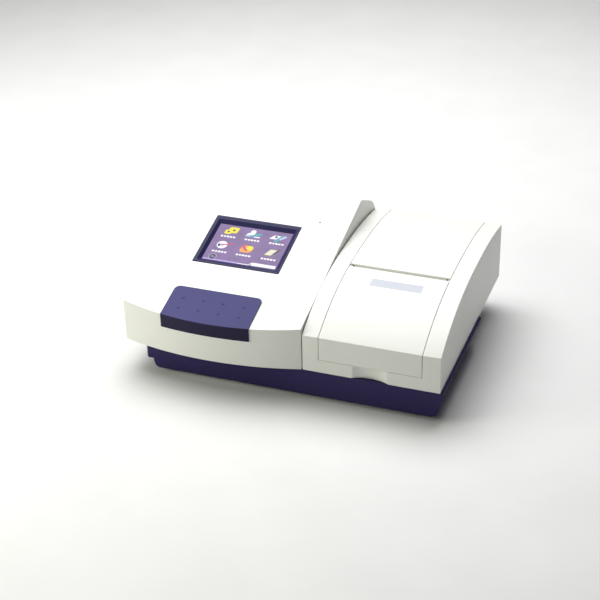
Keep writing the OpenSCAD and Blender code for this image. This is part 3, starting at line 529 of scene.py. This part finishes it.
INKS = {
    "white": srgb(240, 236, 246), "yellow": srgb(232, 216, 22), "teal": srgb(70, 150, 166),
    "pale_blue": srgb(176, 190, 226), "red": srgb(196, 60, 100), "orange": srgb(232, 150, 60),
    "olive": srgb(120, 112, 96), "ink": srgb(20, 14, 44), "lavender": srgb(170, 150, 214),
    "cream": srgb(226, 220, 200)}
INK_GLOW = 0.72
BLOCK_WIDTHS = (4.0, 3.2, 4.4, 3.6, 3.8)
BLOCK_PITCH, BLOCK_HEIGHT = 4.9, 3.4


def pictograms(art):
    """Outlines in mm on the screen with the height of each one's foot, added to art by ink."""
    # yellow double tile with two dark spots
    art["yellow"] += [(tile(-34.4, 29.4, 13, 11, 2.5, 0.1), 0.05),
                      (tile(-40.2, 25.2, 9, 8, 2.0, 0.1), 0.1)]
    art["ink"] += [(disc(-33.6, 29.3, 1.7), 0.15), (disc(-40.0, 25.6, 1.5), 0.17)]
    # stack of sheets
    art["pale_blue"] += [(tile(-1.4, 24.6, 15, 5.5, 1.5, 0.9), 0.05)]
    art["teal"] += [(tile(4.2, 26.6, 12, 6, 1.5, 0.9), 0.1),
                    (tile(-0.6, 23.4, 5, 3, 1.0, 0.6), 0.14)]
    art["white"] += [(tile(-3.6, 27.2, 9, 4.2, 1.2, 0.9), 0.15), (disc(-1.6, 31.4, 3.6), 0.1),
                     (tile(6.6, 22.4, 7, 1.8, 0.8, 0.9), 0.15)]
    # sheet and probe
    art["white"] += [(tile(36.6, 27.4, 11.5, 7, 1.0, 0.7), 0.05)]
    art["teal"] += [(bar((37.2, 19.4), (47.2, 32.0), 5.2), 0.1)]
    art["pale_blue"] += [(bar((42.6, 24.2), (49.6, 31.2), 3.4), 0.15)]
    art["ink"] += [(disc(36.8, 28.2, 1.8), 0.15)]
    # dial with a needle
    art["white"] += [(disc(-39.2, -5.0, 7.0), 0.05)]
    art["ink"] += [(disc(-39.6, -5.6, 5.2, 12, 150, 225), 0.1)]
    art["red"] += [(bar((-38.8, -5.0), (-25.0, -1.0), 2.0), 0.15)]
    art["lavender"] += [(disc(-39.2, -5.0, 2.2), 0.12)]
    # orange badge
    art["orange"] += [(tile(0.6, -6.6, 16, 13, 4.0, 0.15), 0.05)]
    art["yellow"] += [(disc(4.0, -4.4, 4.4), 0.1)]
    art["red"] += [(bar((-6.4, -2.0), (1.8, -9.4), 3.0), 0.15), (disc(-5.2, -1.4, 2.4), 0.1)]
    # pad and pen
    art["olive"] += [(tile(40.4, -6.4, 12, 14, 1.0, 0.5), 0.05)]
    art["cream"] += [(tile(39.6, -6.2, 8.6, 10.6, 0.8, 0.5), 0.1)]
    art["ink"] += [(bar((43.6, -9.4), (49.8, 0.6), 1.7), 0.15)]


def captions_and_bars(art):
    """Plain blocks in place of words, round key, status line and message bar."""
    for x, s in [(-37.6, 15.6), (1.6, 15.2), (41.2, 15.2), (-38.6, -19.4), (0.4, -19.8),
                 (40.6, -20.2)]:
        for k, w in enumerate(BLOCK_WIDTHS):
            block = tile(x + (k - 2) * BLOCK_PITCH, s - 1.2, w, BLOCK_HEIGHT, 0.6)
            art["white"].append((block, 0.05))
    art["lavender"] += [(disc(-44.8, -32.6, 6.6, 28), 0.05),
                        (tile(-30, -39.0, 56, 3.0, 0.4), 0.05)]
    art["ink"] += [(disc(-44.8, -32.6, 5.3, 28), 0.1)]
    art["pale_blue"] += [(bar((-47.6, -32.6), (-42.0, -32.6), 1.3), 0.15)]
    art["white"] += [(bar((-4.5, -39.4), (15.0, -39.4), 1.5), 0.05),
                     (bar((15.0, -39.4), (19.5, -34.4), 1.5), 0.06),
                     (tile(38.4, -36.6, 38.4, 6.6, 1.0), 0.05)]


def screen_picture(plane):
    """Home page of a bench instrument: six plain pictograms over a violet ground."""
    art = {ink: [] for ink in INKS}
    pictograms(art)
    captions_and_bars(art)
    for ink, shapes in art.items():
        material = lit("screen_" + ink, INKS[ink], INK_GLOW)
        patches("screen_" + ink, plane, [(swell(o), h) for o, h in shapes], material)


# ---------- small fittings ----------


surface_trees = {}


def surface_point(node, start, along):
    """Where a ray from start first meets a node, and the surface's normal there."""
    tree = surface_trees.get(node)
    if tree is None:
        bm = bmesh.new()
        bm.from_mesh(nodes[node].data)
        tree = surface_trees[node] = BVHTree.FromBMesh(bm)
        bm.free()
    spot, normal, _, _ = tree.ray_cast(Vector(start), Vector(along))
    return spot, normal


def label(name, node, low, high, axis, material, body="instrument", slot="shell_plastic",
          thick=0.00012, steps=(24, 8)):
    """Thin sheet stuck on a node, over the box low..high.

    axis 1, 2 or 3 says that the sheet faces x, y or z, and its sign which way.
    """
    u, v = [i for i in range(3) if i != abs(axis) - 1]
    sign = 1 if axis > 0 else -1
    top, foot = [], []
    for j in range(steps[1] + 1):
        for i in range(steps[0] + 1):
            start = [0, 0, 0]
            start[u] = low[u] + (high[u] - low[u]) * i / steps[0]
            start[v] = low[v] + (high[v] - low[v]) * j / steps[1]
            start[abs(axis) - 1] = high[abs(axis) - 1] if sign > 0 else low[abs(axis) - 1]
            along = [0, 0, 0]
            along[abs(axis) - 1] = -sign
            spot, normal = surface_point(node, start, along)
            if normal.dot(Vector(along)) > 0:
                normal = -normal
            top.append(spot + normal * thick)
            foot.append(spot)
    row, count = steps[0] + 1, len(top)
    faces = []
    for j in range(steps[1]):
        for i in range(steps[0]):
            k = j * row + i
            faces.append((k, k + 1, k + row + 1, k + row))
            faces.append(tuple(count + c for c in (k + row, k + row + 1, k + 1, k)))
    rim = list(range(row)) + [j * row + row - 1 for j in range(1, steps[1] + 1)]
    rim += [steps[1] * row + i for i in range(row - 2, -1, -1)]
    rim += [j * row for j in range(steps[1] - 1, 0, -1)]
    for a, b in zip(rim, rim[1:] + rim[:1]):
        faces.append((a, b, count + b, count + a))
    o = piece(name, top + foot, faces, material, body, slot)
    fix_normals(o)
    smooth(o)


RECESS_DEPTH = 0.5  # of a screw head's height
RECESS_MIDDLE = 0.45  # height of the recess's middle, of the head's
RECESS_HALF, RECESS_REACH = 0.12, 0.62  # of its radius
DOME_FLATNESS = 0.93


def pan_head(r, h, sectors=48, rings=12):
    """Domed head with a cross recess as (verts, faces), seat at z = 0."""
    verts, faces = [(0, 0, h * RECESS_MIDDLE)], []
    for k in range(1, rings + 1):
        rho = r * k / rings
        for i in range(sectors):
            a = 2 * math.pi * i / sectors
            x, y = rho * math.cos(a), rho * math.sin(a)
            z = h * math.sqrt(max(0, 1 - (DOME_FLATNESS * rho / r) ** 2))
            if min(abs(x), abs(y)) < RECESS_HALF * r and rho < RECESS_REACH * r:
                z -= RECESS_DEPTH * h
            verts.append((x, y, z))
    for i in range(sectors):
        faces.append((0, 1 + i, 1 + (i + 1) % sectors))
    for k in range(rings - 1):
        a, b = 1 + k * sectors, 1 + (k + 1) * sectors
        faces += [(a + i, b + i, b + (i + 1) % sectors, a + (i + 1) % sectors)
                  for i in range(sectors)]
    edge = 1 + (rings - 1) * sectors
    skirt = len(verts)
    verts += [(r * math.cos(2 * math.pi * i / sectors), r * math.sin(2 * math.pi * i / sectors), 0)
              for i in range(sectors)]
    faces += [(edge + i, skirt + i, skirt + (i + 1) % sectors, edge + (i + 1) % sectors)
              for i in range(sectors)]
    faces.append(tuple(skirt + i for i in reversed(range(sectors))))
    return verts, faces


SCREW_TWIST = 0.7  # radians by which each screw's cross is turned from the one before


def screw_heads(name, places, outward, r, h, material, body="instrument"):
    """Screw heads in metres at places, facing outward."""
    turn = Vector(outward).to_track_quat("Z", "Y").to_matrix()
    head_verts, head_faces = pan_head(r, h)
    verts, faces = [], []
    for k, spot in enumerate(places):
        start = len(verts)
        twist = Matrix.Rotation(SCREW_TWIST * k, 3, "Z")
        verts += [Vector(spot) + turn @ (twist @ Vector(p)) for p in head_verts]
        faces += [tuple(start + i for i in f) for f in head_faces]
    smooth(piece(name, verts, faces, material, body))


HEADROOM = 0.05  # how far outside a node the rays start that find its surface


def lid_label():
    """Plain pale label on the lid's crown, just in front of the hinge."""
    low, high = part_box("chamber_lid")
    mid = (low[0] + high[0]) / 2
    left, right, front, back = mid - 0.033, mid + 0.044, high[1] - 0.040, high[1] - 0.024
    film = textured("label_film", (0.49, 0.52, 0.60), 0.45, 900, 0.02, 0.0)
    label("lid_label", "chamber_lid", (left, front, high[2]),
          (right, back, high[2] + HEADROOM), 3, film, "lid")


def turned(name, spot, outward, profile, material, slot="screw_steel", sectors=48):
    """Solid of revolution: profile is (radius, height) pairs from the seat to the tip."""
    turn = Vector(outward).to_track_quat("Z", "Y").to_matrix()
    verts = []
    for r, h in profile:
        for i in range(sectors):
            a = 2 * math.pi * i / sectors
            verts.append(Vector(spot) + turn @ Vector((r * math.cos(a), r * math.sin(a), h)))
    faces = [tuple(reversed(range(sectors))),
             tuple((len(profile) - 1) * sectors + i for i in range(sectors))]
    for k in range(len(profile) - 1):
        a, b = k * sectors, (k + 1) * sectors
        faces += [(a + i, a + (i + 1) % sectors, b + (i + 1) % sectors, b + i)
                  for i in range(sectors)]
    fix_normals(piece(name, verts, faces, material, slot=slot))


def tube(path, r, sides=10, closed=False):
    """Round wire along a path of points, as (verts, faces)."""
    verts, faces, count = [], [], len(path)
    for k, spot in enumerate(path):
        ahead = path[(k + 1) % count] if closed or k + 1 < count else spot
        behind = path[k - 1] if closed or k else spot
        along = (Vector(ahead) - Vector(behind)).normalized()
        side = along.cross(Vector((0, 1, 0))).normalized()
        up = side.cross(along)
        for i in range(sides):
            a = 2 * math.pi * i / sides
            verts.append(Vector(spot) + (side * math.cos(a) + up * math.sin(a)) * r)
    for k in range(count if closed else count - 1):
        a, b = k * sides, (k + 1) % count * sides
        faces += [(a + i, a + (i + 1) % sides, b + (i + 1) % sides, b + i) for i in range(sides)]
    if not closed:
        faces += [tuple(range(sides)), tuple((count - 1) * sides + i for i in range(sides))]
    return verts, faces


def merged(parts):
    """Several (verts, faces) as one."""
    verts, faces = [], []
    for v, f in parts:
        faces += [tuple(len(verts) + i for i in face) for face in f]
        verts += v
    return verts, faces


REARWARD = (0, 1, 0)
PANEL_INSET_X, PANEL_INSET_FOOT, PANEL_INSET_TOP = 0.0085, 0.0075, 0.008


def rear_frame():
    """The rear panel's face, and the left, middle, right, foot and top of what it carries."""
    low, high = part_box("rear_panel")
    left, right = low[0] + PANEL_INSET_X, high[0] - PANEL_INSET_X
    foot, top = low[2] + PANEL_INSET_FOOT, high[2] - PANEL_INSET_TOP
    return high[1], left, (left + right) / 2, right, foot, top


def panel_screws(made):
    """Six pan-head screws along the rear panel's top and bottom."""
    face, left, middle, right, foot, top = rear_frame()
    spots = [(x, face, z) for x in (left, middle, right) for z in (foot, top)]
    screw_heads("panel_screws", spots, REARWARD, 0.0023, 0.0014, made["screw_steel"])


def guard_fittings(made):
    """Wire eyes on the fan guard's outer ring and the four screws through them."""
    face = rear_frame()[0]
    low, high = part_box("fan_guard")
    x, z = (low[0] + high[0]) / 2, (low[2] + high[2]) / 2
    ring, reach, wire, eye, sides = 0.0236, 0.0205, 0.0007, 0.0033, 28
    link_r = wire * 0.9
    places = [(x + i * reach, face + 0.0009, z + k * reach) for i in (-1, 1) for k in (-1, 1)]
    parts = []
    for spot in places:
        loop = [(spot[0] + eye * math.cos(a), face + wire, spot[2] + eye * math.sin(a))
                for a in [2 * math.pi * i / sides for i in range(sides)]]
        parts.append(tube(loop, link_r, closed=True))
        away = Vector((spot[0] - x, 0, spot[2] - z)).normalized()
        hub = Vector((x, face + wire, z))
        parts.append(tube([hub + away * (ring - 0.0003), hub + away * (ring + 0.0021)], link_r))
    o = piece("guard_loops", *merged(parts), made["screw_steel"])
    fix_normals(o)
    smooth(o)
    screw_heads("guard_screws", places, REARWARD, 0.0028, 0.0014, made["screw_steel"])


def rating_plate():
    """Blank plate over the rear panel's ports."""
    face, _, middle, _, _, top = rear_frame()
    left, right, low, high = middle - 0.042, middle + 0.032, top - 0.020, top - 0.006
    film = textured("rating_film", (0.60, 0.61, 0.62), 0.35, 1500, 0.02, 0.00002, coat=0.2)
    label("rating_plate", "rear_panel", (left, face, low), (right, face + 0.01, high), 2, film,
          slot="panel_metal", thick=0.0003)


def earth_stud(made):
    """Washer, six-sided nut and stud left of the fan guard."""
    face, _, _, _, foot, _ = rear_frame()
    spot = (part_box("fan_guard")[0][0] - 0.018, face, foot + 0.010)
    turned("earth_washer", spot, REARWARD,
           [(0.0046, 0), (0.0046, 0.0005), (0.0043, 0.0007), (0.0020, 0.0007)],
           made["screw_steel"])
    turned("earth_nut", spot, REARWARD,
           [(0.0035, 0.0007), (0.0038, 0.0010), (0.0038, 0.0017), (0.0034, 0.0020)],
           made["wheel_brass"], slot="wheel_brass", sectors=6)
    turned("earth_stud", spot, REARWARD,
           [(0.0017, 0.0018), (0.0017, 0.0026), (0.0014, 0.0029), (0.0006, 0.0030)],
           made["wheel_brass"], slot="wheel_brass")


PIN_PITCH, PIN_ROW, PIN_R = 0.00277, 0.0014, 0.0006


def serial_face(made):
    """D-shaped insulator with nine pins in the serial socket's shell."""
    low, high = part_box("serial_port")
    x, z, face = (low[0] + high[0]) / 2, (low[2] + high[2]) / 2, high[1]
    half_top, half_foot, tall, r, steps = 0.0080, 0.0068, 0.0037, 0.0012, 6
    corners = [(half_top, tall), (-half_top, tall), (-half_foot, -tall), (half_foot, -tall)]
    outline = []
    for quarter, (cx, cz) in enumerate(corners):
        mid_x, mid_z = cx - math.copysign(r, cx), cz - math.copysign(r, cz)
        for k in range(steps + 1):
            a = math.radians(90 * quarter + 90 * k / steps)
            outline.append((mid_x + r * math.cos(a), mid_z + r * math.sin(a)))
    rings = [[(x + u, face + y, z + v) for u, v in outline] for y in (-0.0002, 0.0003)]
    verts, sides = loft(rings, False)
    n = len(outline)
    faces = [tuple(range(n)), tuple(n + i for i in range(n)), *sides]
    o = piece("serial_insulator", verts, faces, made["black_plastic"], slot="black_plastic")
    fix_normals(o)
    pins = []
    for count, v in ((5, PIN_ROW), (4, -PIN_ROW)):
        for i in range(count):
            u = (i - (count - 1) / 2) * PIN_PITCH
            pins.append(tube([(x + u, face + y, z + v) for y in (0.0002, 0.0005)], PIN_R))
    fix_normals(piece("serial_pins", *merged(pins), made["wheel_brass"], slot="wheel_brass"))


NEST_RIM = 0.007  # height of the carrier's rim over its flange


def carrier_screws(made):
    """Eight screws that hold the carrier's flange to its bushes."""
    low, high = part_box("plate_carrier")
    bush_low, bush_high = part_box("carrier_bushes")
    mid = (bush_low[0] + bush_high[0]) / 2
    spots = [(mid + side * 0.0500, low[1] + y, high[2] - NEST_RIM)
             for side in (-1, 1) for y in (0.013, 0.028, 0.107, 0.122)]
    screw_heads("carrier_screws", spots, (0, 0, 1), 0.0019, 0.0012, made["screw_steel"],
                "carrier")


def nest_spring(made):
    """Bowed leaf spring on the nest's right wall, which presses the plate to the left."""
    low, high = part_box("plate_carrier")
    bush_low, bush_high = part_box("carrier_bushes")
    wall = (bush_low[0] + bush_high[0]) / 2 + 0.04315
    start, length, bow, steps = low[1] + 0.022, 0.034, 0.0024, 28
    foot, top = high[2] - NEST_RIM + 0.0016, high[2] - NEST_RIM + 0.0060
    near, far = -0.0001, -0.0005
    rings = []
    for k in range(steps + 1):
        x = wall - bow * math.sin(math.pi * k / steps) ** 2
        y = start + length * k / steps
        rings.append([(x + near, y, foot), (x + far, y, foot), (x + far, y, top),
                      (x + near, y, top)])
    verts, faces = loft(rings, False)
    faces += [(0, 1, 2, 3), tuple(steps * 4 + i for i in range(4))]
    fix_normals(piece("nest_spring", verts, faces, made["screw_steel"], "carrier"))
    screw = (wall + far, start + 0.0022, high[2] - NEST_RIM + 0.0038)
    screw_heads("spring_screws", [screw], (-1, 0, 0), 0.0016, 0.0008, made["screw_steel"],
                "carrier")


def underside_label():
    """Plain label under the base tub, between its feet."""
    low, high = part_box("base_tub")
    mid = (low[0] + high[0]) / 2
    left, right, front, back = mid - 0.045, mid + 0.045, low[1] + 0.060, low[1] + 0.115
    film = textured("under_film", (0.62, 0.63, 0.64), 0.4, 1500, 0.02, 0.00002)
    label("under_label", "base_tub", (left, front, low[2] - 0.02), (right, back, low[2] + 0.02),
          -3, film, slot="base_plastic", thick=0.0002)


materials = dress_nodes()
paint_pad_wall_shade(materials)
round_edges()
screen = Plane("touch_panel")
screen_bezel(screen, materials["bezel_plastic"])
screen_picture(screen)
lid_label()
panel_screws(materials)
guard_fittings(materials)
rating_plate()
earth_stud(materials)
serial_face(materials)
carrier_screws(materials)
nest_spring(materials)
underside_label()
add_floor()
add_studio()
add_camera()
